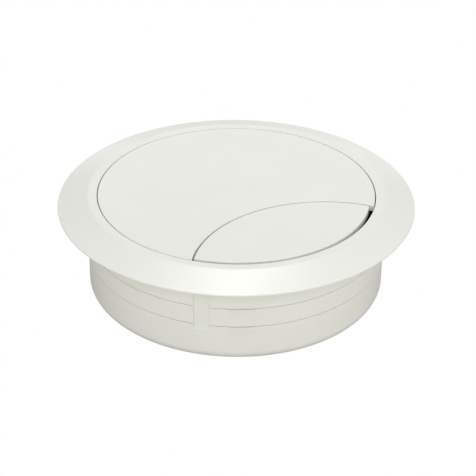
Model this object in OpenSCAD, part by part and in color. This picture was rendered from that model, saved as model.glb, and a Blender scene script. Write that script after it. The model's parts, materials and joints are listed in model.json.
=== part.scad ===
// Desk grommet: a sleeve for a round hole in a desk, a lift-out cap and a sprung cable flap.
// Origin: centre of the flange's underside, the plane of the desk top. +Z is up.

/* [Flange] */
// Width of the flange past the barrel
flange_w = 7.8; // [6:0.1:12]
// Height of the land and the cap above the desk
flange_h = 3.1; // [2.8:0.1:4.5]
// Thickness of the flange at its rim
rim_t = 0.6; // [0.4:0.1:1.2]
// Width of the flat land round the cap
land_w = 1.5; // [1:0.1:3]
// Radius that blends the land into the bevel
land_blend_r = 4; // [2:0.5:5]

/* [Barrel] */
// Outer diameter of the barrel
barrel_d = 79.4; // [66:0.2:96]
// Depth of the barrel under the desk top
barrel_depth = 24.3; // [22:0.1:40]
// Wall thickness of the barrel
wall = 1.9; // [1.4:0.1:2.4]
// Wall thickness round the cap's seat
seat_wall = 2.6; // [2:0.1:4]
// Outside radius of the turned-in bottom edge
bottom_r = 3; // [2.5:0.1:4]
// How far the bottom edge turns in past its radius
turn_in = 0.5; // [0.3:0.1:1]
// Depth of the upper groove
groove_1_z = 8.5; // [6:0.1:10]
// Distance from the upper groove to the lower one
groove_pitch = 5.3; // [4:0.1:6]
// Width of a groove
groove_w = 0.15; // [0.1:0.05:0.6]
// Depth of a groove
groove_t = 0.3; // [0.2:0.05:0.5]

/* [Snap teeth] */
// Number of tooth and channel sets round the barrel
snap_count = 3; // [2:1:4]
// How far a tooth stands out of the barrel
tooth_out = 0.2; // [0.1:0.05:0.25]
// Height of the ramp under a tooth
tooth_h = 3.4; // [2:0.1:3.8]
// Angle of a tooth round the barrel
tooth_angle = 9.9; // [6:0.1:14]
// Angle of a relief channel round the barrel
channel_angle = 5.7; // [4:0.1:8]
// Angle from the start of a channel to the start of its teeth
channel_lead = 13; // [10:0.5:16]
// Depth of a channel down the barrel
channel_z = 15.7; // [12:0.1:18]
// Depth of a channel into the wall
channel_t = 0.5; // [0.3:0.05:0.7]

/* [Cap] */
// Thickness of the cap and the flap
plate_t = 1.8; // [1.5:0.1:2.2]
// Width of the ledge that the cap rests on
ledge_w = 1.8; // [1.4:0.1:2.4]
// Thickness of the ledge at its inner edge
ledge_t = 1; // [0.8:0.1:1.6]
// Radius of the outlet's inner arc
outlet_r = 35.2; // [32:0.1:38]
// Distance from the centre to the middle of the outlet's inner arc
outlet_apex = 11.36; // [10:0.1:16]
// Direction of the outlet, from +X
outlet_dir = -59; // [-180:1:180]
// Depth of the guide legs under the cap
leg_depth = 8; // [5:0.5:10]
// Wall thickness of the guide legs
leg_t = 1.3; // [1:0.1:1.8]
// Number of guide legs
leg_count = 4; // [2:1:6]
// Angle of the gap between two guide legs
leg_gap_angle = 12; // [6:1:20]
// Angle without a ledge past each tip of the outlet
zone_past = 12; // [8:1:16]
// Width of the tab that keys the cap in the sleeve
key_w = 4.6; // [3:0.1:8]
// Depth of the ribs under the cap
rib_h = 2.4; // [1.5:0.1:3]
// Thickness of the ribs under the cap
rib_t = 1.6; // [1:0.1:2]

/* [Flap] */
// Radius of the flap's blunt end
flap_end_r = 34.8; // [33.5:0.1:35.4]
// Angle, from the outlet's direction, where the blunt end leaves the rim
flap_end_turn = 0; // [-8:1:8]
// Radius of the corner at the blunt end
flap_corner_r = 1; // [0.6:0.1:2]
// How far the stop lip reaches under the cap
lip_reach = 1.2; // [0.8:0.1:1.6]
// Thickness of the stop lip
lip_t = 0.8; // [0.6:0.1:1.2]
// Length of the arms under the flap, from the hinge
arm_l = 19; // [14:0.5:22]
// Thickness of the arms
arm_t = 2; // [1.4:0.1:2.6]

/* [Hinge] */
// Diameter of the hinge pin
pin_d = 2; // [1.6:0.1:2.4]
// Wall round the pin in the flap's knuckles
knuckle_wall = 1.1; // [0.8:0.1:1.4]
// Width of a knuckle
knuckle_w = 2.9; // [2:0.1:4]
// Distance from the middle to the inner face of a knuckle
knuckle_y = 7.4; // [6:0.1:9]
// Wall round the pin in the cap's lugs
lug_wall = 1.4; // [1:0.1:1.6]
// Width of a lug
lug_w = 2.4; // [1.8:0.1:4]
// How far the pin stands out of a lug
pin_out = 0.5; // [0.2:0.1:1]
// Angle that the flap opens to
open_angle = 55; // [45:1:58]

/* [Spring] */
// Diameter of the spring wire
wire_d = 0.6; // [0.4:0.05:0.7]
// Number of turns in the coil
coil_turns = 7; // [4:1:9]
// Slope of the leg that lifts the flap
lift_slope = 18; // [15:0.5:20]
// Slope of the leg that rests under the cap
rest_slope = 24; // [18:0.5:32]

/* [Fits] */
// Gap round the cap
cap_gap = 0.25; // [0.15:0.05:0.5]
// Gap between the flap and the outlet's inner arc
arc_gap = 0.45; // [0.15:0.05:0.6]
// Gap between the flap and the seat's wall
flap_gap = 0.95; // [0.4:0.05:1.1]
// Gap between the guide legs and the ledge
leg_gap = 0.2; // [0.1:0.05:0.4]
// Gap over the stop lip, and over the heels of the open flap
lip_gap = 0.2; // [0.1:0.05:0.3]
// Gap between the coil and the cap above it
coil_top_gap = 0.4; // [0.3:0.05:0.8]
// Gap between the coil and the stop lip
coil_front_gap = 0.36; // [0.3:0.02:0.8]
// Radial gap between the coil and the pin
coil_play = 0.6; // [0.3:0.05:0.8]
// Gap round the key tab
key_gap = 0.2; // [0.1:0.05:0.4]
// Radial play of the pin in the knuckles
pin_play = 0.06; // [0.02:0.01:0.1]
// Radial interference of the pin in the lugs
pin_press = 0.02; // [0:0.01:0.04]
// Side play between a lug and a knuckle
side_gap = 0.3; // [0.2:0.05:0.5]
// Gap between the spring legs and what they bear on
wire_gap = 0.05; // [0.03:0.01:0.1]

/* [Hidden] */
$fn = 96;

// Radius on the edges that show
edge_r = 0.15;
// How far joined shapes run into each other
overlap = 0.05;
// Angle from the front of the barrel to its first set of teeth, and the steps between sets
tooth_start = -92.2;
channel_start = tooth_start - channel_lead;
snap_step = 360 / snap_count;
groove_floors = [-groove_1_z - groove_w / 2, -groove_1_z - groove_pitch - groove_w / 2];

barrel_r = barrel_d / 2;
flange_r = barrel_r + flange_w;
inner_r = barrel_r - wall;
mouth_r = barrel_r - bottom_r - turn_in;
seat_r = barrel_r - seat_wall;
seat_z = flange_h - plate_t;
land_r = seat_r + edge_r + land_w;
bevel_slope = atan((flange_h - rim_t) / (flange_r - land_r));
ledge_r = seat_r - ledge_w;
cap_r = seat_r - cap_gap;

// The outlet's inner arc is centred on the local X axis, which points along outlet_dir
outlet_x = outlet_apex + outlet_r;
tip_x = (outlet_x ^ 2 + cap_r ^ 2 - outlet_r ^ 2) / (2 * outlet_x);
flap_zone = acos(tip_x / cap_r) + zone_past;

// Guide legs stand where the ledge does, in from its ends
leg_r = ledge_r - leg_gap;
leg_margin = 6;
leg_zone = 360 - 2 * (flap_zone + leg_margin);
leg_angle = (leg_zone - (leg_count - 1) * leg_gap_angle) / leg_count;

// The flap's outline: the rim's arc, the outlet's arc and the blunt end's arc
flap_r = seat_r - flap_gap;
flap_d = 2 * flap_r;
flap_arc_r = outlet_r - arc_gap;
end_back = flap_r - flap_end_r + overlap;
end_x = end_back * cos(flap_end_turn);
end_y = end_back * sin(flap_end_turn);
lip_z = seat_z - lip_gap;

// The hinge lies under the cap, behind the stop lip
pin_r = pin_d / 2;
pin_ease = 0.2;
knuckle_r = pin_r + knuckle_wall;
lug_r = pin_r + lug_wall;
wire_r = wire_d / 2;
coil_r = pin_r + coil_play + wire_r;
hinge_x = outlet_apex - lip_reach - coil_front_gap - coil_r - wire_r;
hinge_z = seat_z - coil_top_gap - coil_r - wire_r;
hinge_drop = seat_z - hinge_z;
lug_y = knuckle_y + knuckle_w + side_gap;
pin_l = 2 * (lug_y + lug_w + pin_out);
rib_y = lug_y + lug_w / 2;
rib_x = -sqrt((leg_r - leg_t / 2) ^ 2 - rib_y ^ 2);
arm_y = knuckle_y + knuckle_w / 2;
arm_step_x = outlet_x - sqrt(flap_arc_r ^ 2 - (arm_y + arm_t / 2) ^ 2) + overlap;

// The heel's corner, set back from its place under the cap when the flap is open
heel_t = 1.5;
heel_in = hinge_drop - lip_gap - 0.2;
heel_top = hinge_drop - lip_gap;
heel_x = hinge_x - heel_in * cos(open_angle) - heel_top * sin(open_angle);
heel_z = hinge_z - heel_in * sin(open_angle) + heel_top * cos(open_angle);

// The spring: a coil centred on the pin, with a leg off its underside to each side, one under the flap
// and one under the cap
coil_y = (coil_turns - 1) * wire_d / 2;
coil_end = coil_turns * wire_d / 2;
coil_notch = 0.6;
wire_leg_r = wire_r - overlap / 2;

// A leg's start below the hinge, its length up to the plate above, and how far it reaches from the hinge
function wire_leg_z(slope) = hinge_z - coil_r * cos(slope);
function wire_leg_l(slope) = (seat_z - wire_r - wire_gap - wire_leg_z(slope)) / sin(slope);
function wire_leg_reach(slope) = coil_r * sin(slope) + wire_leg_l(slope) * cos(slope);

// Ribs that keep the ends of the spring's legs in line
guide_t = 0.8;
guide_gap = 0.3;
guide_l = 5;

// Points on an arc about c, from angle a to angle b, in n steps
function arc(c, r, a, b, n = 6) =
    [for (i = [0 : n]) let (t = a + (b - a) * i / n) [c[0] + r * cos(t), c[1] + r * sin(t)]];

// Where two circles on the plane meet: centres p and q, radii r and s, the left-hand point from p to q
function meet(p, r, q, s) =
    let (d = norm(q - p), a = (d * d + r * r - s * s) / (2 * d), h = sqrt(r * r - a * a), u = (q - p) / d)
    [p[0] + a * u[0] - h * u[1], p[1] + a * u[1] + h * u[0]];

corner = meet([end_x, end_y], flap_end_r - flap_corner_r, [outlet_x, 0], flap_arc_r - flap_corner_r);
corner_end = [end_x, end_y]
    + (corner - [end_x, end_y]) * flap_end_r / (flap_end_r - flap_corner_r);
corner_arc = [outlet_x, 0]
    + (corner - [outlet_x, 0]) * flap_arc_r / (flap_arc_r - flap_corner_r);

// A disc with a rounded top edge
module disc(r, z0, z1, edge = edge_r)
    rotate_extrude()
        polygon(concat([[0, z0], [r, z0]], arc([r - edge, z1 - edge], edge, 0, 90), [[0, z1]]));

// A sector of a ring
module ring_sector(r0, r1, z0, z1, from, angle)
    rotate_extrude(angle = angle, start = from)
        polygon([[r0, z0], [r1, z0], [r1, z1], [r0, z1]]);

// A bar along the hinge, round about the hinge's axis
module hinge_round(r, y0, y1)
    translate([hinge_x, y1, hinge_z])
        rotate([90, 0, 0])
            cylinder(r = r, h = y1 - y0);

// The outlet's shape: cuts the cap, with its top edge eased
module outlet_cut()
    translate([outlet_x, 0, 0])
        rotate_extrude()
            polygon(concat(
                [[0, seat_z - overlap], [outlet_r, seat_z - overlap]],
                arc([outlet_r + edge_r, flange_h - edge_r], edge_r, 180, 90),
                [[outlet_r + edge_r, flange_h + overlap], [0, flange_h + overlap]]));

module sleeve_profile()
    polygon(concat(
        arc([seat_r + edge_r, flange_h - edge_r], edge_r, 180, 90),
        arc([land_r, flange_h - land_blend_r], land_blend_r, 90, 90 - bevel_slope),
        [[flange_r - rim_t / 2, rim_t]],
        arc([flange_r - rim_t / 2, rim_t / 2], rim_t / 2, 60, -90),
        [[barrel_r, 0]],
        arc([barrel_r - bottom_r, bottom_r - barrel_depth], bottom_r, 0, -90),
        [[mouth_r + edge_r, -barrel_depth], [mouth_r, edge_r - barrel_depth],
            [mouth_r, wall - barrel_depth]],
        arc([barrel_r - bottom_r, bottom_r - barrel_depth], bottom_r - wall, -90, 0),
        [[inner_r, seat_z - ledge_t - 2 * wall], [seat_r, seat_z - ledge_t - wall]]));

// The ledge under the cap, open for the flap and notched for the key tab
module ledge()
    difference() {
        rotate_extrude(angle = 360 - 2 * flap_zone, start = flap_zone)
            polygon([[ledge_r, seat_z], [ledge_r, seat_z - ledge_t],
                [seat_r + overlap, seat_z - ledge_t - ledge_w], [seat_r + overlap, seat_z]]);
        translate([-seat_r, -key_w / 2 - key_gap, seat_z - ledge_t - ledge_w - overlap])
            cube([2 * ledge_w, key_w + 2 * key_gap, ledge_t + ledge_w + 2 * overlap]);
    }

// Snap teeth: under each groove, a ledge that faces up, on a ramp that eases them into the hole
module teeth(from)
    for (z = groove_floors)
        rotate_extrude(angle = tooth_angle, start = from)
            polygon([[barrel_r - groove_t, z], [barrel_r + tooth_out, z],
                [barrel_r - overlap, z - tooth_h], [barrel_r - groove_t, z - tooth_h]]);

module sleeve()
    color("whitesmoke") {
        difference() {
            rotate_extrude() sleeve_profile();
            for (z = groove_floors)
                ring_sector(barrel_r - groove_t, barrel_r + overlap, z, z + groove_w, 0, 360);
            for (i = [0 : snap_count - 1])
                ring_sector(barrel_r - channel_t, barrel_r + overlap, -channel_z, 0,
                    channel_start + i * snap_step, channel_angle);
        }
        for (i = [0 : snap_count - 1])
            teeth(tooth_start + i * snap_step);
        rotate(outlet_dir)
            ledge();
    }

// Guide legs in the sleeve's ledge, each with two upright friction ribs
module guide_legs()
    for (i = [0 : leg_count - 1]) {
        from = flap_zone + leg_margin + i * (leg_angle + leg_gap_angle);
        ring_sector(leg_r - leg_t, leg_r, seat_z - leg_depth, seat_z + overlap, from, leg_angle);
        for (share = [0.2, 0.8])
            rotate(from + share * leg_angle)
                translate([leg_r - leg_gap, 0, seat_z - leg_depth])
                    cylinder(r = 1.5 * leg_gap, h = leg_depth);
    }

// Lugs that hold the pin's ends, with ribs that tie them to the guide legs
module pin_lugs()
    for (side = [-1, 1]) {
        hinge_round(lug_r, side * rib_y - lug_w / 2, side * rib_y + lug_w / 2);
        translate([hinge_x - lug_r, side * rib_y - lug_w / 2, hinge_z])
            cube([2 * lug_r, lug_w, hinge_drop + overlap]);
        translate([rib_x, side * rib_y - rib_t / 2, seat_z - rib_h])
            cube([hinge_x - rib_x, rib_t, rib_h + overlap]);
    }

// The tab that fits the notch in the ledge
module key_tab()
    translate([-cap_r + 2 * edge_r, -key_w / 2, seat_z - ledge_t])
        cube([ledge_w, key_w, ledge_t + overlap]);

// Two ribs that keep the end of a spring leg in line
module wire_guides(side, slope)
    for (edge = [-1, 1])
        translate([hinge_x + side * (wire_leg_reach(slope) - guide_l / 2) - guide_l / 2,
            side * coil_y + edge * (wire_r + guide_gap + guide_t / 2) - guide_t / 2, seat_z - lip_t])
            cube([guide_l, guide_t, lip_t + overlap]);

module cap()
    color("whitesmoke")
        rotate(outlet_dir)
            difference() {
                union() {
                    difference() {
                        disc(cap_r, seat_z, flange_h);
                        outlet_cut();
                    }
                    guide_legs();
                    pin_lugs();
                    key_tab();
                    wire_guides(-1, rest_slope);
                }
                hinge_round(pin_r - pin_press, -rib_y - lug_w, rib_y + lug_w);
            }

// The area inside the flap's blunt end: a round end, and everything on the sharp tip's side of it
module end_zone(inset, z0, z1, edge) {
    translate([end_x, end_y, 0])
        disc(flap_end_r - inset, z0, z1, edge);
    translate([0, 0, z0])
        linear_extrude(z1 - z0)
            polygon([[0, 0], flap_d * [cos(flap_end_turn), sin(flap_end_turn)],
                [flap_d, -flap_d], [0, -flap_d]]);
}

// The flap's plate, with the corner of its blunt end rounded
module flap_plate() {
    difference() {
        intersection() {
            disc(flap_r, seat_z, flange_h);
            translate([outlet_x, 0, 0])
                disc(flap_arc_r, seat_z, flange_h);
            end_zone(0, seat_z, flange_h, edge_r);
        }
        translate([0, 0, seat_z - overlap])
            linear_extrude(plate_t + 2 * overlap)
                polygon([corner_end, corner + 4 * (corner_end + corner_arc - 2 * corner), corner_arc]);
    }
    translate([corner[0], corner[1], 0])
        disc(flap_corner_r + overlap / 2, seat_z, flange_h);
}

// The lip that meets the underside of the cap and stops the flap flush with it
module stop_lip()
    intersection() {
        translate([outlet_x, 0, 0])
            rotate_extrude()
                polygon([[flap_arc_r - plate_t, seat_z + overlap], [flap_arc_r - plate_t, lip_z - lip_t],
                    [outlet_r + lip_reach, lip_z - lip_t], [outlet_r + lip_reach, lip_z],
                    [flap_arc_r - edge_r, lip_z], [flap_arc_r - edge_r, seat_z + overlap]]);
        cylinder(r = flap_r - lip_reach, h = 4 * flange_h, center = true);
        end_zone(lip_reach, lip_z - 2 * lip_t, flange_h, edge_r);
    }

// An arm from the hinge to the plate, with a heel that meets the cap when the flap is open
module arm(y) {
    difference() {
        union() {
            hinge_round(knuckle_r, y - knuckle_w / 2, y + knuckle_w / 2);
            translate([0, y + arm_t / 2, 0])
                rotate([90, 0, 0])
                    linear_extrude(arm_t)
                        polygon([[hinge_x, hinge_z + knuckle_r], [arm_step_x, hinge_z + knuckle_r],
                            [arm_step_x, seat_z + overlap], [hinge_x + arm_l, seat_z + overlap],
                            [hinge_x + arm_l, seat_z - lip_t], [hinge_x + arm_l / 3, hinge_z - knuckle_r],
                            [hinge_x, hinge_z - knuckle_r]]);
            translate([heel_x, y - knuckle_w / 2, heel_z - heel_t])
                cube([hinge_x - heel_x, knuckle_w, heel_t]);
        }
        hinge_round(pin_r + pin_play, y - knuckle_w, y + knuckle_w);
    }
}

module flap()
    color("whitesmoke")
        rotate(outlet_dir) {
            flap_plate();
            stop_lip();
            arm(-arm_y);
            arm(arm_y);
            wire_guides(1, lift_slope);
        }

module hinge_pin()
    color("silver")
        rotate(outlet_dir)
            translate([hinge_x, 0, hinge_z])
                rotate([90, 0, 0])
                    rotate_extrude()
                        polygon([[0, -pin_l / 2], [pin_r - pin_ease, -pin_l / 2],
                            [pin_r, pin_ease - pin_l / 2], [pin_r, pin_l / 2 - pin_ease],
                            [pin_r - pin_ease, pin_l / 2], [0, pin_l / 2]]);

// Half of the coil's section: one side of every turn, in order along the coil
function turn_edge(side) =
    [for (i = [0 : coil_turns - 1], step = [-0.5, -0.25, 0.25])
        [coil_r + side * wire_r * (step == -0.5 ? coil_notch : 1), (i + step) * wire_d - coil_y]];

coil_tail = [[coil_r + coil_notch * wire_r, coil_end], [coil_r - coil_notch * wire_r, coil_end]];

// A straight leg that rises to the side from the underside of the coil
module wire_leg(side, slope)
    translate([hinge_x + side * coil_r * sin(slope), side * coil_y, wire_leg_z(slope)])
        rotate([0, side * (90 - slope), 0])
            translate([0, 0, -wire_r])
                cylinder(r = wire_leg_r, h = wire_leg_l(slope) + wire_r);

// The close-wound coil as one turned solid with a ridge for each turn, and its two straight legs
module torsion_spring()
    color("gray")
        rotate(outlet_dir) {
            translate([hinge_x, 0, hinge_z])
                rotate([-90, 0, 0])
                    rotate_extrude()
                        polygon(concat(turn_edge(1), coil_tail,
                            [for (i = [len(turn_edge(-1)) - 1 : -1 : 0]) turn_edge(-1)[i]]));
            wire_leg(-1, rest_slope);
            wire_leg(1, lift_slope);
        }

sleeve();
cap();
flap();
hinge_pin();
torsion_spring();
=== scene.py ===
# %% [markdown]
# # A desk grommet
# A grommet lines the hole in a desk where the cables come up. This one is five pieces: a sleeve that snaps
# into the hole, a cap that lifts out of the sleeve, a sprung flap that gives way to the cables, and the pin
# and torsion spring that the flap hangs on. The engineering model already settles every size and joint. This
# script builds the pieces that are seen, in metres and in the same frame, so nothing is placed by eye.

# %% Load the frame
import json
import math

import bmesh
import bpy
from mathutils import Matrix, Vector


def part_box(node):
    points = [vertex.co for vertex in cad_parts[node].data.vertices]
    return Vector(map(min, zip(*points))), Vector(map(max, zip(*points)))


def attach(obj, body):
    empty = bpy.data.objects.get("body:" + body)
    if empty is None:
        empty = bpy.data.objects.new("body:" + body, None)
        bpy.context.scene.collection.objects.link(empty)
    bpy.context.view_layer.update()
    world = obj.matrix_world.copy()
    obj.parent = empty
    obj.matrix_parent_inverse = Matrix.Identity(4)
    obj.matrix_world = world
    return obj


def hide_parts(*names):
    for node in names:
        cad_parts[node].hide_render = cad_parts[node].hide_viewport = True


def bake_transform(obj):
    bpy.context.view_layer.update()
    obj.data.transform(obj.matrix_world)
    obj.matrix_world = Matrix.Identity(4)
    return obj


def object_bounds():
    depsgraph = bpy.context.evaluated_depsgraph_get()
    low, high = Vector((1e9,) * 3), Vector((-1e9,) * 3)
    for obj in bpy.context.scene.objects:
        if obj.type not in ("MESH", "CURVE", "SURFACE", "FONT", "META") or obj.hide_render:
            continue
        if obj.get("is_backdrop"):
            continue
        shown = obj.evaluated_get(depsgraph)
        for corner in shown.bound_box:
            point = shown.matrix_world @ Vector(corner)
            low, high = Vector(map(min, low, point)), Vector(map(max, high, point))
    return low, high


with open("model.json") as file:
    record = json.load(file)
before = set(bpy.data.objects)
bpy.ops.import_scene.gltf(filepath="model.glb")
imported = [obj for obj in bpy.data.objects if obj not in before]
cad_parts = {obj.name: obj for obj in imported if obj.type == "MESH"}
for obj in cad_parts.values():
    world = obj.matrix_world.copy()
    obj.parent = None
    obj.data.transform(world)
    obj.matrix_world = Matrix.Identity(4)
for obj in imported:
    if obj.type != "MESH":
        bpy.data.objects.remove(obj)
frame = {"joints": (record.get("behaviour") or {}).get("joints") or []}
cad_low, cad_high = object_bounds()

scene = bpy.context.scene
MM = 0.001
print("CAD box, mm:", [round(side / MM, 2) for side in cad_high - cad_low])

# %% [markdown]
# ## Camera
# A long lens from well back keeps the round rim close to a true ellipse, as in a catalogue picture. The
# camera's place follows from a distance, an elevation and a small roll. The slide moves it square to its own
# line of sight, which sets the object in the picture without turning the view.

# %% Camera
CAMERA_DISTANCE = 450 * MM
CAMERA_ELEVATION = math.radians(30.65)
CAMERA_ROLL = math.radians(0.63)
CAMERA_SLIDE_RIGHT = 0.56 * MM
CAMERA_SLIDE_UP = -9.74 * MM
CAMERA_LENS = 127.4
CAMERA_SENSOR = 36
CAMERA_CLIP = 10 * MM

towards = Vector((0, -math.cos(CAMERA_ELEVATION), math.sin(CAMERA_ELEVATION)))
right = Vector((1, 0, 0))
up = towards.cross(right)
camera_place = towards * CAMERA_DISTANCE + right * CAMERA_SLIDE_RIGHT + up * CAMERA_SLIDE_UP
camera_right = right * math.cos(CAMERA_ROLL) + up * math.sin(CAMERA_ROLL)
camera_up = up * math.cos(CAMERA_ROLL) - right * math.sin(CAMERA_ROLL)

camera_data = bpy.data.cameras.new("camera")
camera_data.sensor_width = CAMERA_SENSOR
camera_data.lens = CAMERA_LENS
camera_data.clip_start = CAMERA_CLIP
camera = bpy.data.objects.new("camera", camera_data)
camera.matrix_world = (Matrix.Translation(camera_place)
                       @ Matrix((camera_right, camera_up, towards)).transposed().to_4x4())
scene.collection.objects.link(camera)
scene.camera = camera
print("camera at, mm:", [round(value / MM, 1) for value in camera_place])

# %% [markdown]
# ## Sizes
# The rim, the top and the hinge are read from the frame, so they can't drift from it. The other sizes are
# the design's own, such as the wall and the depth of a groove. The cap and the flap are drawn in a turned
# set of axes, with X along the outlet and Y along the hinge, where both pieces are simplest. One turn about
# the upright axis then puts them in their place.

# %% Sizes shared by the pieces
FLANGE = 7.8 * MM
SEAT_WALL = 2.6 * MM
LEDGE_REACH = 1.8 * MM
PLATE = 1.8 * MM
EDGE = 0.15 * MM
CAP_GAP = 0.25 * MM

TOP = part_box("cap")[1].z
FLANGE_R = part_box("sleeve")[1].x
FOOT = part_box("sleeve")[0].z
BARREL_R = FLANGE_R - FLANGE
SEAT_R = BARREL_R - SEAT_WALL
SEAT = TOP - PLATE
LEDGE_R = SEAT_R - LEDGE_REACH
CAP_R = SEAT_R - CAP_GAP

hinge = next(joint for joint in frame["joints"] if joint["name"] == "flap_hinge")
HINGE = Vector(hinge["pos_m"])
OUTLET_TURN = math.atan2(HINGE.y, HINGE.x)
HINGE_X = math.hypot(HINGE.x, HINGE.y)
TURN = Matrix.Rotation(OUTLET_TURN, 4, "Z")

OUTLET_R = 35.2 * MM
OUTLET_NEAREST = 11.36 * MM
OUTLET_X = OUTLET_R + OUTLET_NEAREST
print("outlet turned by", round(math.degrees(OUTLET_TURN), 1), "degrees")
print("hinge", round(HINGE_X / MM, 2), "mm out and", round(HINGE.z / MM, 2), "mm up")

# %% [markdown]
# ## Finding points
# Every outline here is made of arcs, so three short functions do for all of them. One gives the points along
# an arc. One finds where two circles meet. One gives the angle at which a point is seen from a centre.

# %% Arcs and where circles meet
def arc(centre, radius, start, end, steps):
    """Points along an arc on the plane, its ends included. Angles are in radians."""
    angles = [start + (end - start) * step / steps for step in range(steps + 1)]
    return [(centre[0] + radius * math.cos(angle), centre[1] + radius * math.sin(angle)) for angle in angles]


def meet(p, p_radius, q, q_radius, side=1):
    """Where two circles meet: left of the way from p to q if side is 1, right of it if side is -1."""
    across = Vector(q) - Vector(p)
    along = (across.length_squared + p_radius ** 2 - q_radius ** 2) / (2 * across.length)
    off = side * math.sqrt(p_radius ** 2 - along ** 2)
    unit = across.normalized()
    return Vector(p) + along * unit + off * Vector((-unit.y, unit.x))


def bearing(centre, point):
    """The angle of a point seen from a centre, from 0 up to a full turn."""
    return math.atan2(point[1] - centre[1], point[0] - centre[0]) % math.tau


# %% [markdown]
# ## From bmesh to a finished piece
# A moulded part has flat faces, round faces and few true edges. Every face is shaded smooth, and only an edge
# sharper than SHARP stays sharp. `finish` also merges doubled points and turns all faces outwards, and
# `report` counts the open edges that are left, which should be none. Every piece ends in `settle`, which
# leans the shading of a rounded edge towards the broad faces beside it, so that those look flat.

# %% Mesh helpers
SHARP = math.radians(32)
SAME_POINT = 0.0005 * MM
NO_LENGTH = 0.0001 * MM


def finish(bm, turn=Matrix.Identity(4)):
    """Cleans a bmesh, turns it into place and shades it."""
    bmesh.ops.remove_doubles(bm, verts=bm.verts, dist=SAME_POINT)
    bmesh.ops.dissolve_degenerate(bm, edges=bm.edges, dist=NO_LENGTH)
    bmesh.ops.recalc_face_normals(bm, faces=bm.faces)
    bmesh.ops.transform(bm, matrix=turn, verts=bm.verts)
    for face in bm.faces:
        face.smooth = True
    for edge in bm.edges:
        edge.smooth = edge.is_manifold and edge.calc_face_angle() < SHARP


def to_object(name, bm, turn=Matrix.Identity(4)):
    """Finishes a bmesh and puts it in an object of its own, at the origin."""
    finish(bm, turn)
    mesh = bpy.data.meshes.new(name)
    bm.to_mesh(mesh)
    bm.free()
    piece = bpy.data.objects.new(name, mesh)
    scene.collection.objects.link(piece)
    return piece


def bake(piece):
    """Turns a piece with modifiers into a plain mesh."""
    mesh = bpy.data.meshes.new_from_object(piece.evaluated_get(bpy.context.evaluated_depsgraph_get()))
    piece.modifiers.clear()
    mesh.name = piece.name
    piece.data = mesh


def report(piece):
    """Prints a piece's size and whether it is closed."""
    bm = bmesh.new()
    bm.from_mesh(piece.data)
    open_edges = sum(not edge.is_manifold for edge in bm.edges)
    triangles = sum(len(face.verts) - 2 for face in bm.faces)
    volume = bm.calc_volume(signed=True) / MM ** 3
    bm.free()
    print(f"{piece.name}: {triangles} triangles, {open_edges} open edges, {volume:.0f} cubic mm")


def settle(piece, turn=Matrix.Identity(4)):
    """The last step for a piece: cleaned, turned into place, its broad faces shaded flat, and reported."""
    bm = bmesh.new()
    bm.from_mesh(piece.data)
    finish(bm, turn)
    bm.to_mesh(piece.data)
    bm.free()
    piece.modifiers.new("broad faces first", "WEIGHTED_NORMAL").keep_sharp = True
    bake(piece)
    report(piece)


def discard(*pieces):
    """Removes pieces that were only needed to make others."""
    for piece in pieces:
        bpy.data.objects.remove(piece)


# %% [markdown]
# ## Trees of Geometry Nodes
# Geometry Nodes grow a mesh from a rule, and the rule stays readable: sizes go in as named inputs and a mesh
# comes out. Wiring a tree by hand in Python is wordy, so this small class keeps the words. `add` makes a node
# and feeds its inputs with numbers or with other nodes' sockets. `grow` runs a tree on a piece and keeps the
# result as a plain mesh, because an exported model can't carry the tree itself.

# %% A short way to write node trees
class Tree:
    """A Geometry Nodes tree with named inputs, closed by `end`."""

    def __init__(self, name, **inputs):
        self.group = bpy.data.node_groups.new(name, "GeometryNodeTree")
        self.group.is_modifier = True
        sockets = self.group.interface
        sockets.new_socket("Geometry", in_out="INPUT", socket_type="NodeSocketGeometry")
        self.inputs = {label: sockets.new_socket(label, in_out="INPUT", socket_type="NodeSocket" + kind)
                       for label, kind in inputs.items()}
        sockets.new_socket("Geometry", in_out="OUTPUT", socket_type="NodeSocketGeometry")
        self.entry = self.group.nodes.new("NodeGroupInput").outputs

    def add(self, kind, feeds, **settings):
        """Adds a node and returns its first output. Feeds go from an input's name or number to a value."""
        node = self.group.nodes.new(kind)
        for setting, value in settings.items():
            setattr(node, setting, value)
        for key, value in feeds.items():
            if isinstance(value, bpy.types.NodeSocket):
                self.group.links.new(value, node.inputs[key])
            else:
                node.inputs[key].default_value = value
        return node.outputs[0]

    def math(self, operation, *values):
        """Arithmetic on numbers and sockets."""
        return self.add("ShaderNodeMath", dict(enumerate(values)), operation=operation)

    def read(self, attribute):
        """A number that each point carries under this name."""
        return self.add("GeometryNodeInputNamedAttribute", {"Name": attribute}, data_type="FLOAT")

    def end(self, geometry):
        """Ends the tree as every tree here ends: instances made real, then the material set."""
        real = self.add("GeometryNodeRealizeInstances", {"Geometry": geometry})
        finished = self.add("GeometryNodeSetMaterial", {"Geometry": real, "Material": self.entry["Material"]})
        self.group.links.new(finished, self.group.nodes.new("NodeGroupOutput").inputs[0])


def grow(piece, tree, **values):
    """Runs a tree on a piece with these inputs, and keeps the result as a plain mesh."""
    modifier = piece.modifiers.new("grow", "NODES")
    modifier.node_group = tree.group
    for label, value in values.items():
        modifier[tree.inputs[label].identifier] = value
    bake(piece)


# %% [markdown]
# ## Moulded white plastic
# The three mouldings are one satin white, very slightly warm. A polished mould would give a mirror and a
# blasted one a chalky face. This one was spark-eroded and lightly polished, which leaves a grain about a
# third of a millimetre across and hardly deep at all. Two noises on Object coordinates make it: a fine one
# for the grain's bump, and a broad one that shifts colour and gloss a little, as melt that cooled unevenly
# does. A third, in between, keeps the flat faces from being perfectly flat, which no moulding is.

# %% The white plastic
NOISE_LOW, NOISE_HIGH = 0.3, 0.7


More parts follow.
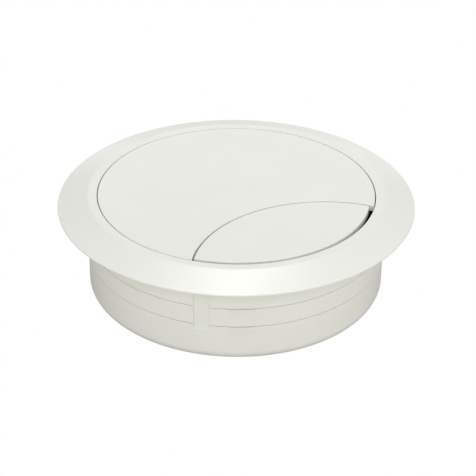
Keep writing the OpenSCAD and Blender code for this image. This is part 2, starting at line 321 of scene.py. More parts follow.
class Finish:
    """A material under construction: a Principled shader and the nodes that feed it."""

    def __init__(self, name, **constants):
        self.material = bpy.data.materials.new(name)
        self.material.use_nodes = True
        self.shader = self.material.node_tree.nodes["Principled BSDF"]
        for socket, value in constants.items():
            self.shader.inputs[socket.replace("_", " ")].default_value = value

    def add(self, kind, feeds, **settings):
        """Adds a node. Each feed goes from an input's name or number to a number or another node's socket."""
        node = self.material.node_tree.nodes.new(kind)
        for setting, value in settings.items():
            setattr(node, setting, value)
        for key, value in feeds.items():
            if isinstance(value, bpy.types.NodeSocket):
                self.material.node_tree.links.new(value, node.inputs[key])
            else:
                node.inputs[key].default_value = value
        return node

    def noise(self, grain, detail=2.0):
        """A noise on Object coordinates whose grain is about that many metres across."""
        place = self.add("ShaderNodeTexCoord", {}).outputs["Object"]
        feeds = {"Vector": place, "Scale": 1 / grain, "Detail": detail}
        return self.add("ShaderNodeTexNoise", feeds).outputs["Fac"]

    def spread(self, value, low, high):
        """Maps the part of the noise's scale that it mostly fills to low to high."""
        feeds = {"Value": value, "From Min": NOISE_LOW, "From Max": NOISE_HIGH, "To Min": low, "To Max": high}
        return self.add("ShaderNodeMapRange", feeds).outputs["Result"]

    def colour(self, factor, dark, light):
        """Mixes the base colour from two."""
        mix = self.add("ShaderNodeMix", {0: factor, 6: dark, 7: light}, data_type="RGBA")
        self.material.node_tree.links.new(mix.outputs[2], self.shader.inputs["Base Color"])

    def roughness(self, value):
        self.material.node_tree.links.new(value, self.shader.inputs["Roughness"])

    def bump(self, *layers):
        """Adds bumps one over another, each a height from 0 to 1 and a depth in metres."""
        normal = None
        for height, depth in layers:
            feeds = {"Height": height, "Distance": depth}
            if normal:
                feeds["Normal"] = normal
            normal = self.add("ShaderNodeBump", feeds).outputs["Normal"]
        self.material.node_tree.links.new(normal, self.shader.inputs["Normal"])


PLASTIC_LIGHT = (0.800, 0.803, 0.762, 1)
PLASTIC_SHADE = (0.776, 0.781, 0.738, 1)
PLASTIC_GLOSS = (0.34, 0.28)
MOTTLE = 14 * MM
GRAIN = 0.3 * MM
GRAIN_DEPTH = 0.008 * MM
WAVE = 6 * MM
WAVE_DEPTH = 0.02 * MM

plastic = Finish("satin white plastic", IOR=1.49)
mottle = plastic.noise(MOTTLE, detail=4.0)
plastic.colour(plastic.spread(mottle, 0, 1), PLASTIC_SHADE, PLASTIC_LIGHT)
plastic.roughness(plastic.spread(mottle, *PLASTIC_GLOSS))
plastic.bump((plastic.noise(GRAIN, detail=3.0), GRAIN_DEPTH), (plastic.noise(WAVE), WAVE_DEPTH))
print("made", plastic.material.name)

# %% [markdown]
# ## Steel
# The pin is cut from drawn rod, so it is bright, with a fine even tooth left by the die. The spring is music
# wire with a film of oil: darker, and a little brown in places. Both are plain metals, so the colour is the
# colour of the reflection, and roughness does most of the work.

# %% The pin's steel and the spring's
STEEL_BRIGHT = (0.68, 0.68, 0.69, 1)
STEEL_GREY = (0.52, 0.52, 0.53, 1)
STEEL_OILED = (0.33, 0.31, 0.29, 1)
PIN_GLOSS = (0.32, 0.2)
PIN_TOOTH = 0.12 * MM
PIN_TOOTH_DEPTH = 0.003 * MM
WIRE_GLOSS = (0.42, 0.24)
OIL_PATCH = 0.9 * MM
WIRE_TOOTH = 0.1 * MM
WIRE_TOOTH_DEPTH = 0.002 * MM

pin_steel = Finish("drawn pin steel", Metallic=1.0)
draw = pin_steel.noise(PIN_TOOTH, detail=3.0)
pin_steel.colour(pin_steel.spread(draw, 0, 1), STEEL_GREY, STEEL_BRIGHT)
pin_steel.roughness(pin_steel.spread(draw, *PIN_GLOSS))
pin_steel.bump((draw, PIN_TOOTH_DEPTH))

spring_steel = Finish("oiled spring wire", Metallic=1.0)
film = spring_steel.noise(OIL_PATCH, detail=4.0)
spring_steel.colour(spring_steel.spread(film, 0, 1), STEEL_OILED, STEEL_GREY)
spring_steel.roughness(spring_steel.spread(film, *WIRE_GLOSS))
spring_steel.bump((spring_steel.noise(WIRE_TOOTH), WIRE_TOOTH_DEPTH))
print("made", pin_steel.material.name, "and", spring_steel.material.name)

# %% [markdown]
# ## The sleeve
# The sleeve is a turned shape with a few things that repeat round it: two fine grooves all the way round,
# three shallow channels, three sets of snap teeth, and a ledge inside that stops short where the flap swings.
# Spinning a profile gives the turned shape, and cutting the rest out of it afterwards would leave slivers on
# the round wall. So the sleeve is swept instead, with its features already in the sweep. Each row of the
# profile knows its radius on plain wall, in a channel, at a tooth and where the ledge is left out. Each
# column round the sleeve knows which of these it is in. Then the tree only puts every point at its radius.

# %% Rows of the sleeve's profile, from the mouth over the rim and down
RIM = 0.6 * MM
LAND = 1.5 * MM
LAND_R = SEAT_R + EDGE + LAND
LAND_BLEND = 4 * MM
ROOT = 0.15 * MM
WALL = 1.9 * MM
FOOT_ROUND = 3 * MM
TURN_IN = 0.5 * MM
MOUTH_R = BARREL_R - FOOT_ROUND - TURN_IN
INNER_R = BARREL_R - WALL
GROOVES = (-8.5 * MM, -13.8 * MM)
GROOVE = 0.15 * MM
GROOVE_DEPTH = 0.3 * MM
SOFT = 0.04 * MM
TOOTH = 0.2 * MM
TOOTH_RAMP = 2.72 * MM
RAMP_SHARES = (0.25, 0.5, 0.75, 1)
CHANNEL = 0.5 * MM
CHANNEL_END = -15.7 * MM
CHANNEL_FADE = 1.0 * MM
LEDGE = 1.0 * MM
LEDGE_SOFT = 0.12 * MM

rows = []


def row(radius, height, channel=None, tooth=None, bare=None):
    """One row of the profile: its radius on plain wall, in a channel, at a tooth and without the ledge."""
    rows.append((height, radius, channel or radius, tooth or radius, bare or radius))


def tooth_radius(radius, height):
    """The radius at a tooth: out at the groove's floor, and back to the wall down a ramp."""
    for groove in GROOVES:
        down = (groove - GROOVE / 2 - height) / TOOTH_RAMP
        if 0 <= down <= 1 and radius > BARREL_R - GROOVE_DEPTH:
            return radius + TOOTH * (1 - down)
    return radius


bevel = math.atan((TOP - RIM) / (FLANGE_R - LAND_R))
for point in (arc((SEAT_R + EDGE, TOP - EDGE), EDGE, math.pi, math.pi / 2, 5)
              + arc((LAND_R, TOP - LAND_BLEND), LAND_BLEND, math.pi / 2, math.pi / 2 - bevel, 8)
              + arc((FLANGE_R - RIM / 2, RIM / 2), RIM / 2, math.pi / 2 - bevel, -math.pi / 2, 10)):
    row(*point)
for radius, height in arc((BARREL_R + ROOT, -ROOT), ROOT, math.pi / 2, math.pi, 3):
    row(radius, height, channel=radius - CHANNEL)

wall = [(BARREL_R, CHANNEL_END + CHANNEL_FADE), (BARREL_R, CHANNEL_END)]
for groove in GROOVES:
    for side in (1, -1):
        edge_height = groove + side * GROOVE / 2
        corner = [(BARREL_R, edge_height + side * SOFT), (BARREL_R - SOFT, edge_height),
                  (BARREL_R - GROOVE_DEPTH, edge_height)]
        wall += corner if side == 1 else corner[::-1]
    wall += [(BARREL_R, groove - GROOVE / 2 - TOOTH_RAMP * share) for share in RAMP_SHARES]
for radius, height in sorted(wall, key=lambda point: -point[1]):
    channel = BARREL_R - CHANNEL if height >= CHANNEL_END + CHANNEL_FADE else radius
    row(radius, height, channel=channel, tooth=tooth_radius(radius, height))

for point in (arc((BARREL_R - FOOT_ROUND, FOOT + FOOT_ROUND), FOOT_ROUND, 0, -math.pi / 2, 14)
              + arc((MOUTH_R + EDGE, FOOT + EDGE), EDGE, -math.pi / 2, -math.pi, 4)
              + arc((MOUTH_R + EDGE, FOOT + WALL - EDGE), EDGE, math.pi, math.pi / 2, 4)
              + arc((BARREL_R - FOOT_ROUND, FOOT + FOOT_ROUND), FOOT_ROUND - WALL, -math.pi / 2, 0, 8)):
    row(*point)
row(INNER_R, SEAT - LEDGE - 2 * WALL)
row(SEAT_R, SEAT - LEDGE - WALL)
for inset, height in ((SEAT_R - LEDGE_R, SEAT - LEDGE - SEAT_R + LEDGE_R),
                      (LEDGE_SOFT, SEAT - LEDGE - LEDGE_SOFT), (0, SEAT - LEDGE + LEDGE_SOFT),
                      (0, SEAT - LEDGE_SOFT), (LEDGE_SOFT, SEAT), (SEAT_R - LEDGE_R, SEAT)):
    row(LEDGE_R + inset, height, bare=SEAT_R)
print(len(rows), "rows")

# %% Columns round the sleeve
COLUMNS = 480
BESIDE = 0.06
SNAPS = 3
TOOTH_START, TOOTH_SPAN = -92.2, 9.9
CHANNEL_START, CHANNEL_SPAN = -105.2, 5.7
PAST_TIP = 12
KEY_NOTCH = 5.0 * MM
TIP_X = (OUTLET_X ** 2 + CAP_R ** 2 - OUTLET_R ** 2) / (2 * OUTLET_X)
FLAP_ZONE = math.degrees(math.acos(TIP_X / CAP_R)) + PAST_TIP
KEY_ZONE = math.degrees(math.asin(KEY_NOTCH / 2 / LEDGE_R))
outlet = math.degrees(OUTLET_TURN)
windows = [("bare", outlet - FLAP_ZONE, 2 * FLAP_ZONE), ("bare", outlet + 180 - KEY_ZONE, 2 * KEY_ZONE)]
for snap in range(SNAPS):
    windows.append(("tooth", TOOTH_START + snap * 360 / SNAPS, TOOTH_SPAN))
    windows.append(("channel", CHANNEL_START + snap * 360 / SNAPS, CHANNEL_SPAN))


def within(angle, start, span, margin=0.001):
    """Whether an angle, in degrees, lies in a window."""
    return (angle - start + margin) % 360 <= span + 2 * margin


edges = [angle for kind, start, span in windows for angle in (start, start + span)]
angles = [column * 360 / COLUMNS for column in range(COLUMNS)]
angles = [angle for angle in angles
          if not any(within(angle, edge - 3 * BESIDE, 6 * BESIDE) for edge in edges)]
for kind, start, span in windows:
    angles += [(start - BESIDE) % 360, start % 360, (start + span) % 360, (start + span + BESIDE) % 360]
angles.sort()
print(len(angles), "columns, among them the edges of", len(windows), "windows")


# %% The sleeve's sweep
def loop_object(name, points, **attributes):
    """A closed row of points, with a number of its own for each point under each attribute."""
    mesh = bpy.data.meshes.new(name)
    mesh.from_pydata(points, [(here, (here + 1) % len(points)) for here in range(len(points))], [])
    for attribute, values in attributes.items():
        mesh.attributes.new(attribute, "FLOAT", "POINT").data.foreach_set("value", values)
    piece = bpy.data.objects.new(name, mesh)
    scene.collection.objects.link(piece)
    return piece


sweep = Tree("sleeve sweep", Profile="Object", Material="Material")
profile = sweep.add("GeometryNodeObjectInfo", {"Object": sweep.entry["Profile"]}).node.outputs["Geometry"]
swept = sweep.add("GeometryNodeCurveToMesh", {
    "Curve": sweep.add("GeometryNodeMeshToCurve", {"Mesh": sweep.entry["Geometry"]}),
    "Profile Curve": sweep.add("GeometryNodeMeshToCurve", {"Mesh": profile})})
radius = sweep.read("row_plain")
for feature in ("channel", "tooth", "bare"):
    change = sweep.math("SUBTRACT", sweep.read("row_" + feature), sweep.read("row_plain"))
    radius = sweep.math("ADD", radius, sweep.math("MULTIPLY", change, sweep.read("column_" + feature)))
angle = sweep.read("column_angle")
place = sweep.add("ShaderNodeCombineXYZ", {
    "X": sweep.math("MULTIPLY", radius, sweep.math("COSINE", angle)),
    "Y": sweep.math("MULTIPLY", radius, sweep.math("SINE", angle)),
    "Z": sweep.read("row_height")})
sweep.end(sweep.add("GeometryNodeSetPosition", {"Geometry": swept, "Position": place}))

heights, plain, channels, teeth, bares = zip(*rows)
profile_rows = loop_object("sleeve profile", [(radius, height, 0) for radius, height in zip(plain, heights)],
                           row_height=heights, row_plain=plain, row_channel=channels, row_tooth=teeth,
                           row_bare=bares)
turns = [math.radians(angle) for angle in angles]
masks = {"column_" + feature: [float(any(within(angle, start, span) for kind, start, span in windows
                                         if kind == feature)) for angle in angles]
         for feature in ("channel", "tooth", "bare")}
sleeve = loop_object("sleeve_shell", [(math.cos(turn), math.sin(turn), 0) for turn in turns],
                     column_angle=turns, **masks)
grow(sleeve, sweep, Profile=profile_rows, Material=plastic.material)
discard(profile_rows)
settle(sleeve)
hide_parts("sleeve")
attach(sleeve, "sleeve")

# %% [markdown]
# ## Plates with rounded edges
# The cap and the flap are plates whose edges are all arcs. A bevel would work, but at the flap's sharp tip it
# folds over itself. An outline that can be drawn at any distance in from its edge gives the rounding
# directly: the same outline is drawn further and further in as it climbs, and each loop is bridged to the
# next. One more loop on the flat keeps the round edge's shading off the top.

# %% Plates and outlines
ROUND_STEPS = 4
BREAK = 0.1 * MM
FLAT_FROM = 1.4 * EDGE


def plate(name, outline, low, high):
    """A plate whose outline is drawn in by the inset that it is given."""
    bm = bmesh.new()
    climb = [step * math.pi / 2 / ROUND_STEPS for step in range(ROUND_STEPS + 1)]
    levels = ([(BREAK, low), (0, low + BREAK)]
              + [(EDGE * (1 - math.cos(angle)), high - EDGE * (1 - math.sin(angle))) for angle in climb]
              + [(FLAT_FROM, high)])
    loops = [[bm.verts.new((x, y, height)) for x, y in outline(inset)] for inset, height in levels]
    for lower, upper in zip(loops, loops[1:]):
        for here in range(len(lower)):
            bm.faces.new((lower[here - 1], lower[here], upper[here], upper[here - 1]))
    bm.faces.new(loops[0][::-1])
    bm.faces.new(loops[-1])
    return to_object(name, bm)


def cap_outline(inset):
    """Round the rim from one tip of the outlet to the other, and back along the outlet."""
    rim, cut = CAP_R - inset, OUTLET_R + inset
    tip = meet((0, 0), rim, (OUTLET_X, 0), cut)
    start = bearing((0, 0), tip)
    back_angle = bearing((OUTLET_X, 0), tip)
    return (arc((0, 0), rim, start, math.tau - start, 320)
            + arc((OUTLET_X, 0), cut, math.tau - back_angle, back_angle, 96)[1:-1])


FLAP_GAP = 0.95 * MM
ARC_GAP = 0.45 * MM
FLAP_R = SEAT_R - FLAP_GAP
FLAP_ARC_R = OUTLET_R - ARC_GAP
END_R = 34.8 * MM
END = (FLAP_R - END_R, 0)
CORNER_R = 1.0 * MM
CORNER = meet(END, END_R - CORNER_R, (OUTLET_X, 0), FLAP_ARC_R - CORNER_R)


def flap_outline(inset):
    """From the sharp tip along the rim, round the blunt end and its corner, and back along the outlet."""
    tip = meet((0, 0), FLAP_R - inset, (OUTLET_X, 0), FLAP_ARC_R - inset, side=-1)
    corner_start, corner_end = bearing(END, CORNER), bearing((OUTLET_X, 0), CORNER)
    return (arc((0, 0), FLAP_R - inset, bearing((0, 0), tip) - math.tau, 0, 60)
            + arc(END, END_R - inset, 0, corner_start, 100)[1:]
            + arc(CORNER, CORNER_R - inset, corner_start, corner_end, 10)[1:]
            + arc((OUTLET_X, 0), FLAP_ARC_R - inset, corner_end, bearing((OUTLET_X, 0), tip), 120)[1:-1])


# %% [markdown]
# ## Ribs, legs and lugs
# Under the plates there are walls, bars and round bosses. Each starts as an outline given a thickness, with
# its edges rounded as a mould's would be. They are then welded to their plate with an exact Boolean, so that
# the piece is one closed skin, as one shot of plastic is. Every feature runs a little way into the plate
# first, because faces that only touch don't weld cleanly.

# %% Solids for ribs and bosses
WELD = 0.3 * MM


def block(name, outline, low, high, ease, place=Matrix.Identity(4)):
    """A solid with this outline from low to high, its true edges rounded, then placed."""
    bm = bmesh.new()
    bottom = bm.faces.new([bm.verts.new((x, y, low)) for x, y in outline])
    raised = bmesh.ops.extrude_face_region(bm, geom=[bottom])["geom"]
    lift = [vertex for vertex in raised if isinstance(vertex, bmesh.types.BMVert)]
    bmesh.ops.translate(bm, verts=lift, vec=(0, 0, high - low))
    bmesh.ops.recalc_face_normals(bm, faces=bm.faces)
    sharp = [edge for edge in bm.edges if edge.is_manifold and edge.calc_face_angle() > SHARP]
    bmesh.ops.bevel(bm, geom=sharp, offset=ease, segments=2, profile=0.5, affect="EDGES", clamp_overlap=True)
    return to_object(name, bm, place)


def box_outline(x0, x1, y0, y1):
    """A rectangle's corners."""
    return [(x0, y0), (x1, y0), (x1, y1), (x0, y1)]


def turned(name, profile, steps, place):
    """A solid turned about Z from (radius, height) points, with a flat face at each end, then placed."""
    bm = bmesh.new()
    rings = []
    for radius, height in profile:
        rings.append([bm.verts.new((x, y, height)) for x, y in arc((0, 0), radius, 0, math.tau, steps)[:-1]])
    for lower, upper in zip(rings, rings[1:]):
        for here in range(steps):
            bm.faces.new((lower[here - 1], lower[here], upper[here], upper[here - 1]))
    bm.faces.new(rings[0][::-1])
    bm.faces.new(rings[-1])
    return to_object(name, bm, place)


def weld(base, parts, operation="UNION"):
    """Joins parts to a base piece in one skin, or cuts them out of it."""
    group = bpy.data.collections.new("parts")
    for part in parts:
        group.objects.link(part)
    boolean = base.modifiers.new("weld", "BOOLEAN")
    boolean.operation, boolean.solver = operation, "EXACT"
    boolean.operand_type, boolean.collection = "COLLECTION", group
    bake(base)
    bpy.data.collections.remove(group)
    discard(*parts)


def dress(piece, finish):
    """Gives a welded piece one material, in place of those that its parts brought with them."""
    piece.data.materials.clear()
    piece.data.materials.append(finish.material)


ALONG_HINGE = Matrix.Translation((HINGE_X, 0, HINGE.z)) @ Matrix.Rotation(-math.pi / 2, 4, "X")
ROUND_BAR_STEPS = 64


def round_bar(name, radius, middle, length, ease):
    """A bar on the hinge's axis, its ends eased."""
    half = length / 2
    profile = [(radius - ease, middle - half), (radius, middle - half + ease),
               (radius, middle + half - ease), (radius - ease, middle + half)]
    return turned(name, profile, ROUND_BAR_STEPS, ALONG_HINGE)

# %% [markdown]
# ## The cap
# The cap is a disc with a bite out of it where the flap lies. Underneath, four guide legs drop inside the
# sleeve's ledge, and each has two upright ribs that rub on it, so that the cap stays put but lifts out. Two
# lugs hold the ends of the flap's pin, and ribs tie them back to the legs. Opposite the outlet, a key tab
# fits the notch in the ledge and keeps the outlet over the gap that was left for the flap.
#
# The four legs are alike, so one leg is modelled and a tree turns copies of it about the middle.

# %% The cap's guide legs
LEGS = 4
LEG_GAP = math.radians(12)
LEG_MARGIN = math.radians(6)
LEG_CLEARANCE = 0.2 * MM
LEG_R = LEDGE_R - LEG_CLEARANCE
LEG = 1.3 * MM
LEG_DEPTH = 8 * MM
LEG_FOOT = SEAT - LEG_DEPTH
LEG_EASE = 0.25 * MM
LEG_START = math.radians(FLAP_ZONE) + LEG_MARGIN
LEG_TURN = (math.tau - 2 * LEG_START - (LEGS - 1) * LEG_GAP) / LEGS
RUB_R = 0.3 * MM
RUB_SUNK = 0.2 * MM
RUB_FOOT = LEG_FOOT + 0.3 * MM
RUB_TAPER = 0.5 * MM
RUB_SHARES = (0.2, 0.8)

copies = Tree("turned copies", Count="Int", Start="Float", Step="Float", Material="Material")
points = copies.add("GeometryNodePoints", {"Count": copies.entry["Count"]})
number = copies.add("GeometryNodeInputIndex", {})
turn_angle = copies.math("MULTIPLY_ADD", number, copies.entry["Step"], copies.entry["Start"])
rotation = copies.add("FunctionNodeAxisAngleToRotation", {"Axis": (0, 0, 1), "Angle": turn_angle})
copies.end(copies.add("GeometryNodeInstanceOnPoints", {
    "Points": points, "Instance": copies.entry["Geometry"], "Rotation": rotation}))

leg_outline = (arc((0, 0), LEG_R, 0, LEG_TURN, 36) + arc((0, 0), LEG_R - LEG, LEG_TURN, 0, 36))
legs = block("guide legs", leg_outline, LEG_FOOT, SEAT + WELD, LEG_EASE)
rub_profile = [(RUB_R / 2, RUB_FOOT), (RUB_R, RUB_FOOT + RUB_TAPER), (RUB_R, SEAT + WELD / 2)]
rubs = []
for share in RUB_SHARES:
    middle = Matrix.Rotation(share * LEG_TURN, 4, "Z") @ Matrix.Translation((LEG_R - RUB_SUNK, 0, 0))
    rubs.append(turned("rub", rub_profile, 24, middle))
weld(legs, rubs)
grow(legs, copies, Count=LEGS, Start=LEG_START, Step=LEG_TURN + LEG_GAP, Material=plastic.material)
print(LEGS, "legs of", round(math.degrees(LEG_TURN), 1), "degrees")

# %% The spring's legs, and the ribs that guide them
PIN_R = 1.0 * MM
WIRE_R = 0.3 * MM
COIL_PLAY = 0.6 * MM
COIL_R = PIN_R + COIL_PLAY + WIRE_R
COIL_HALF = 1.8 * MM
REST_SLOPE = math.radians(24)
LIFT_SLOPE = math.radians(18)
WIRE_CLEARANCE = 0.05 * MM
GUIDE = 0.8 * MM
GUIDE_GAP = 0.3 * MM
GUIDE_LENGTH = 5 * MM
GUIDE_DEPTH = 0.8 * MM
GUIDE_EASE = 0.12 * MM


def wire_leg(slope):
    """How far below the hinge a spring leg starts, how far it rises to the plate, and how far it reaches."""
    start = -COIL_R * math.cos(slope)
    rise = SEAT - WIRE_R - WIRE_CLEARANCE - HINGE.z - start
    return start, rise, COIL_R * math.sin(slope) + rise / math.tan(slope)


def wire_guides(side, slope):
    """Two ribs under a plate that keep the end of a spring leg in line."""
    reach = HINGE_X + side * wire_leg(slope)[2]
    near, far = sorted((reach, reach - side * GUIDE_LENGTH))
    for offset in (-1, 1):
        middle = side * COIL_HALF + offset * (WIRE_R + GUIDE_GAP + GUIDE / 2)
        yield block("guide", box_outline(near, far, middle - GUIDE / 2, middle + GUIDE / 2),
                    SEAT - GUIDE_DEPTH, SEAT + WELD, GUIDE_EASE)


print("spring legs reach", [round(wire_leg(slope)[2] / MM, 1) for slope in (REST_SLOPE, LIFT_SLOPE)], "mm")

# %% The cap
MOULD_EASE = 0.15 * MM
LUG_R = PIN_R + 1.4 * MM
LUG = 2.4 * MM
LUG_Y = 11.8 * MM
RIB = 1.6 * MM
RIB_DEPTH = 2.4 * MM
RIB_EASE = 0.2 * MM
KEY = 4.6 * MM
KEY_REACH = 1.8 * MM
PRESS = 0.01 * MM

cap = plate("cap_shell", cap_outline, SEAT, TOP)
rib_back = -math.sqrt((LEG_R - LEG / 2) ** 2 - LUG_Y ** 2)
parts = [legs, *wire_guides(-1, REST_SLOPE),
         block("key", box_outline(2 * EDGE - CAP_R, 2 * EDGE - CAP_R + KEY_REACH, -KEY / 2, KEY / 2),
               SEAT - LEDGE, SEAT + WELD, MOULD_EASE)]
weld(cap, parts)
lugs = []
for side in (-1, 1):
    low_y, high_y = side * LUG_Y - LUG / 2, side * LUG_Y + LUG / 2
    lug = block("lug", box_outline(HINGE_X - LUG_R, HINGE_X + LUG_R, low_y, high_y),
                HINGE.z, SEAT + WELD, MOULD_EASE)
    weld(lug, [round_bar("lug boss", LUG_R, side * LUG_Y, LUG, MOULD_EASE),
               block("rib", box_outline(rib_back, HINGE_X, side * LUG_Y - RIB / 2, side * LUG_Y + RIB / 2),
                     SEAT - RIB_DEPTH, SEAT + WELD, RIB_EASE)])
    lugs.append(lug)
weld(cap, lugs)
weld(cap, [round_bar("bore", PIN_R - PRESS, 0, 2 * LUG_Y + 2 * LUG, 0)], "DIFFERENCE")
settle(cap, TURN)
dress(cap, plastic)
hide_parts("cap")
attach(cap, "cap")

# %% [markdown]
# ## The flap
# The flap fills the outlet. It swings down about the pin, which lies under the cap, so two arms reach back
# from the plate to it. A lip along the inner edge comes up under the cap and stops the flap level with the
# top. Each arm ends in a knuckle round the pin and a heel, which meets the cap when the flap is wide open.

# %% The flap
KNUCKLE_R = PIN_R + 1.1 * MM
KNUCKLE = 2.9 * MM
ARM = 2.0 * MM
ARM_Y = 8.85 * MM
ARM_REACH = 19 * MM
WEB_FOOT = 1 / 3
OPEN = math.radians(hinge["range_deg"][1])
HEEL = 1.5 * MM
HEEL_CLEARANCE = 0.2 * MM
HEEL_EASE = 0.1 * MM
LIP_REACH = 1.2 * MM
LIP = 0.8 * MM
LIP_CLEARANCE = 0.2 * MM
LIP_TOP = SEAT - LIP_CLEARANCE
LIP_EASE = 0.15 * MM
RISER_EASE = 0.02 * MM
STEP_OVERLAP = 0.05 * MM
BORE_CLEARANCE = 0.06 * MM


def lip_outline(outer):
    """The stop lip: a strip along the outlet's arc, cut off by the rim and by the blunt end."""
    middle = (OUTLET_X, 0)
    inner, rim, end = FLAP_ARC_R - PLATE, FLAP_R - LIP_REACH, END_R - LIP_REACH
    far_end, near_end = meet(END, end, middle, outer), meet(END, end, middle, inner)
    near_tip, far_tip = meet((0, 0), rim, middle, inner, -1), meet((0, 0), rim, middle, outer, -1)
    return (arc(middle, outer, bearing(middle, far_end), bearing(middle, far_tip), 90)
            + arc((0, 0), rim, bearing((0, 0), far_tip), bearing((0, 0), near_tip), 12)[1:]
            + arc(middle, inner, bearing(middle, near_tip), bearing(middle, near_end), 90)[1:]
            + arc(END, end, bearing(END, near_end), bearing(END, far_end), 6)[1:-1])


flap = plate("flap_shell", flap_outline, SEAT, TOP)
lip = block("lip", lip_outline(OUTLET_R + LIP_REACH), LIP_TOP - LIP, LIP_TOP, LIP_EASE)
weld(lip, [block("riser", lip_outline(FLAP_ARC_R - EDGE), LIP_TOP - LIP / 2, SEAT + WELD, RISER_EASE)])
weld(flap, [lip, *wire_guides(1, LIFT_SLOPE)])

arm_step = OUTLET_X - math.sqrt(FLAP_ARC_R ** 2 - (ARM_Y + ARM / 2) ** 2) + STEP_OVERLAP
UPRIGHT = Matrix.Rotation(math.pi / 2, 4, "X")
drop = SEAT - HINGE.z
heel_in, heel_top = drop - LIP_CLEARANCE - HEEL_CLEARANCE, drop - LIP_CLEARANCE
heel_x = HINGE_X - heel_in * math.cos(OPEN) - heel_top * math.sin(OPEN)
heel_z = HINGE.z - heel_in * math.sin(OPEN) + heel_top * math.cos(OPEN)
web_outline = [(HINGE_X, HINGE.z + KNUCKLE_R), (HINGE_X, HINGE.z - KNUCKLE_R),
               (HINGE_X + ARM_REACH * WEB_FOOT, HINGE.z - KNUCKLE_R), (HINGE_X + ARM_REACH, SEAT - LIP),
               (HINGE_X + ARM_REACH, SEAT + WELD), (arm_step, SEAT + WELD), (arm_step, HINGE.z + KNUCKLE_R)]
arms = []
for side in (-1, 1):
    knuckle = round_bar("knuckle", KNUCKLE_R, side * ARM_Y, KNUCKLE, MOULD_EASE)
    web = block("web", web_outline, -side * ARM_Y - ARM / 2, -side * ARM_Y + ARM / 2, MOULD_EASE, UPRIGHT)
    heel = block("heel", box_outline(heel_x, HINGE_X, side * ARM_Y - KNUCKLE / 2, side * ARM_Y + KNUCKLE / 2),
                 heel_z - HEEL, heel_z, HEEL_EASE)
    weld(web, [knuckle, heel])
    arms.append(web)
weld(flap, arms)
weld(flap, [round_bar("bore", PIN_R + BORE_CLEARANCE, 0, 2 * ARM_Y + 2 * KNUCKLE, 0)], "DIFFERENCE")
settle(flap, TURN)
dress(flap, plastic)
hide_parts("flap")
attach(flap, "flap")

# %% [markdown]
# ## The pin
# A cropped length of drawn rod, pressed into the lugs. Its ends are eased so that it starts into the bores,
# and the crop leaves a shallow dish in each end face.

# %% The hinge pin
PIN_OUT = 0.5 * MM
PIN_HALF = LUG_Y + LUG / 2 + PIN_OUT
PIN_EASE = 0.2 * MM
DISH = 0.06 * MM
DISH_RIM, DISH_FLOOR = 0.5 * PIN_R, 0.35 * PIN_R
pin_end = [(PIN_R - PIN_EASE * (1 - math.cos(angle)), PIN_HALF - PIN_EASE * (1 - math.sin(angle)))
           for angle in (0, math.pi / 6, math.pi / 3, math.pi / 2)]
pin_end += [(DISH_RIM, PIN_HALF), (DISH_FLOOR, PIN_HALF - DISH)]
pin_profile = [(radius, -height) for radius, height in reversed(pin_end)] + pin_end
pin = turned("drawn_pin", pin_profile, ROUND_BAR_STEPS, TURN @ ALONG_HINGE)
dress(pin, pin_steel)
settle(pin)
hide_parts("hinge_pin")
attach(pin, "cap")

# %% [markdown]
# ## The torsion spring
# The wire comes in under the cap, winds six turns and a little more round the pin, and goes out under the
# flap. Both legs leave the underside of the coil and rise to the plate above them, so the spring is always
# trying to straighten and lift the flap. The wire's centre line is a row of points, and a tree sweeps a round
# section along it. The coil then has to twist when the flap swings.

# %% The torsion spring
TURNS = 6
TURN_STEPS = 40
WIRE_SIDES = 14
THINNED = 0.98
legs_apart = REST_SLOPE + LIFT_SLOPE
coil_total = TURNS * math.tau + legs_apart
coil_steps = round(TURN_STEPS * coil_total / math.tau)


def leg_end(side, slope):
    """The free end of a spring leg, measured from the hinge."""
    start, rise, reach = wire_leg(slope)
    return Vector((side * reach, side * COIL_HALF, start + rise))


wire = [leg_end(-1, REST_SLOPE)]
for step in range(coil_steps + 1):
    share = step / coil_steps
    angle = math.pi + REST_SLOPE - share * coil_total
    wire.append(Vector((COIL_R * math.sin(angle), (2 * share - 1) * COIL_HALF, COIL_R * math.cos(angle))))
wire.append(leg_end(1, LIFT_SLOPE))

winding = Tree("wire", Radius="Float", Material="Material")
section = winding.add("GeometryNodeCurvePrimitiveCircle", {
    "Resolution": WIRE_SIDES, "Radius": winding.entry["Radius"]})
winding.end(winding.add("GeometryNodeCurveToMesh", {
    "Curve": winding.add("GeometryNodeMeshToCurve", {"Mesh": winding.entry["Geometry"]}),
    "Profile Curve": section, "Fill Caps": True}))

wire_mesh = bpy.data.meshes.new("torsion_wire")
wire_mesh.from_pydata(wire, [(here, here + 1) for here in range(len(wire) - 1)], [])
spring = bpy.data.objects.new("torsion_wire", wire_mesh)
scene.collection.objects.link(spring)
grow(spring, winding, Radius=THINNED * WIRE_R, Material=spring_steel.material)
settle(spring, TURN @ Matrix.Translation((HINGE_X, 0, HINGE.z)))
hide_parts("torsion_spring")
axis = Vector(hinge["axis"]).normalized()
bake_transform(spring)

# %% [markdown]
# ## Floor and light
# A white piece in white surroundings needs light that is stronger from some sides than from others, or its
# shape goes. A dim white room fills the shadows and five softboxes model it. The one overhead stands a little
# behind, where the front of the rim mirrors it, and puts the sheen there.
#
# The floor is three flat pieces. The first is the one that is seen: a plain white sweep, burnt out to the
# edges of the picture as in a catalogue, and clear from below so that the underside can be looked at. The
# second is what the light meets: it bounces a little light up under the rim and takes the shadow that darkens
# the foot. Both have a hole under the barrel. The third fills it, so that the burnt-out white doesn't light
# the inside.

# %% Floor
FLOOR_R = 1.8
FLOOR_SIDES = 96
HOLE_MARGIN = 0.3 * MM
HOLE_R = MOUTH_R + HOLE_MARGIN
CHALKY = 0.9
BOUNCE = (0.52, 0.51, 0.46, 1)


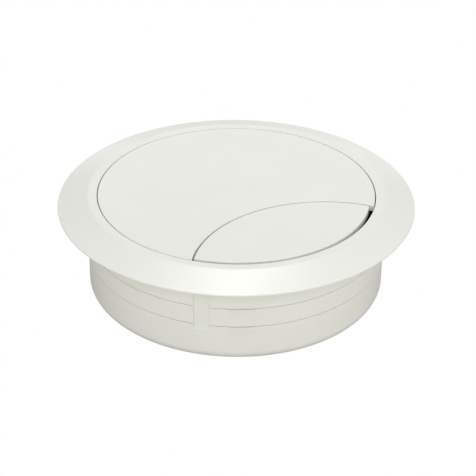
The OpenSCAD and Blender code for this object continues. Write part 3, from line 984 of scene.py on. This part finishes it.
def floor_ring(name, inner, outer, material):
    """A flat ring on the floor, or a disc where the inner radius is nothing."""
    bm = bmesh.new()
    rims = [[bm.verts.new((x, y, FOOT)) for x, y in arc((0, 0), radius, 0, math.tau, FLOOR_SIDES)[:-1]]
            for radius in (inner, outer) if radius > 0]
    if len(rims) == 1:
        bm.faces.new(rims[0])
    else:
        for here in range(len(rims[0])):
            bm.faces.new((rims[0][here - 1], rims[1][here - 1], rims[1][here], rims[0][here]))
    ring = to_object(name, bm)
    if ring.data.polygons[0].normal.z < 0:
        ring.data.flip_normals()
    ring.data.materials.append(material)
    ring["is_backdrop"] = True
    return ring


def clear_from_below(finish):
    """Makes a floor's finish clear on its back, so that the underside of the object can be looked at."""
    back_side = finish.add("ShaderNodeNewGeometry", {}).outputs["Backfacing"]
    clear = finish.add("ShaderNodeMath", {0: 1.0, 1: back_side}, operation="SUBTRACT").outputs[0]
    finish.material.node_tree.links.new(clear, finish.shader.inputs["Alpha"])
    return finish.material


sweep_white = Finish("white sweep", Base_Color=(0, 0, 0, 1), Specular_IOR_Level=0.0,
                     Emission_Color=(1, 1, 1, 1), Emission_Strength=1.0)
seen_floor = floor_ring("seen_floor", HOLE_R, FLOOR_R, clear_from_below(sweep_white))
seen_floor.visible_diffuse = seen_floor.visible_glossy = seen_floor.visible_shadow = False

bounce_white = Finish("bounce white", Base_Color=BOUNCE, Roughness=CHALKY)
bounce_floor = floor_ring("bounce_floor", HOLE_R, FLOOR_R, bounce_white.material)
bounce_floor.visible_camera = False
hole_white = Finish("white inside the barrel", Base_Color=BOUNCE, Roughness=CHALKY)
floor_ring("hole_floor", 0, HOLE_R, clear_from_below(hole_white))
print("floor at", round(FOOT / MM, 1), "mm")

# %% Room and softboxes
ROOM = 0.52
ROOM_WHITE = (1, 1, 0.985, 1)
SOFTBOX_AWAY = 0.7
# Each softbox: its compass angle and elevation in degrees, its side in metres, its power in watts.
SOFTBOXES = {"overhead": (90, 66, 0.25, 1.386), "front": (270, 20, 0.5, 2.214),
             "left": (185, 20, 0.4, 0.43), "right": (355, 20, 0.4, 0.905), "back": (90, 10, 0.5, 0.627)}

scene.view_settings.view_transform = "Standard"
room = bpy.data.worlds.new("studio room")
room.use_nodes = True
room.node_tree.nodes["Background"].inputs["Color"].default_value = ROOM_WHITE
room.node_tree.nodes["Background"].inputs["Strength"].default_value = ROOM
scene.world = room


def softbox(name, compass, elevation, size, power):
    """A square softbox that faces the object from a compass angle and an elevation, in degrees."""
    swing, rise = math.radians(compass), math.radians(elevation)
    direction = Vector((math.cos(swing) * math.cos(rise), math.sin(swing) * math.cos(rise), math.sin(rise)))
    lamp = bpy.data.lights.new(name, "AREA")
    lamp.size = size
    lamp.energy = power
    stand = bpy.data.objects.new(name, lamp)
    stand.location = direction * SOFTBOX_AWAY
    stand.rotation_mode = "QUATERNION"
    stand.rotation_quaternion = direction.to_track_quat("Z", "Y")
    scene.collection.objects.link(stand)


for name, facts in SOFTBOXES.items():
    softbox(name + " softbox", *facts)
print(len(SOFTBOXES), "softboxes")

# %% Sizes, and the end
visual_low, visual_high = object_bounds()
boxes = [list(corner) for corner in (cad_low, cad_high, visual_low, visual_high)]
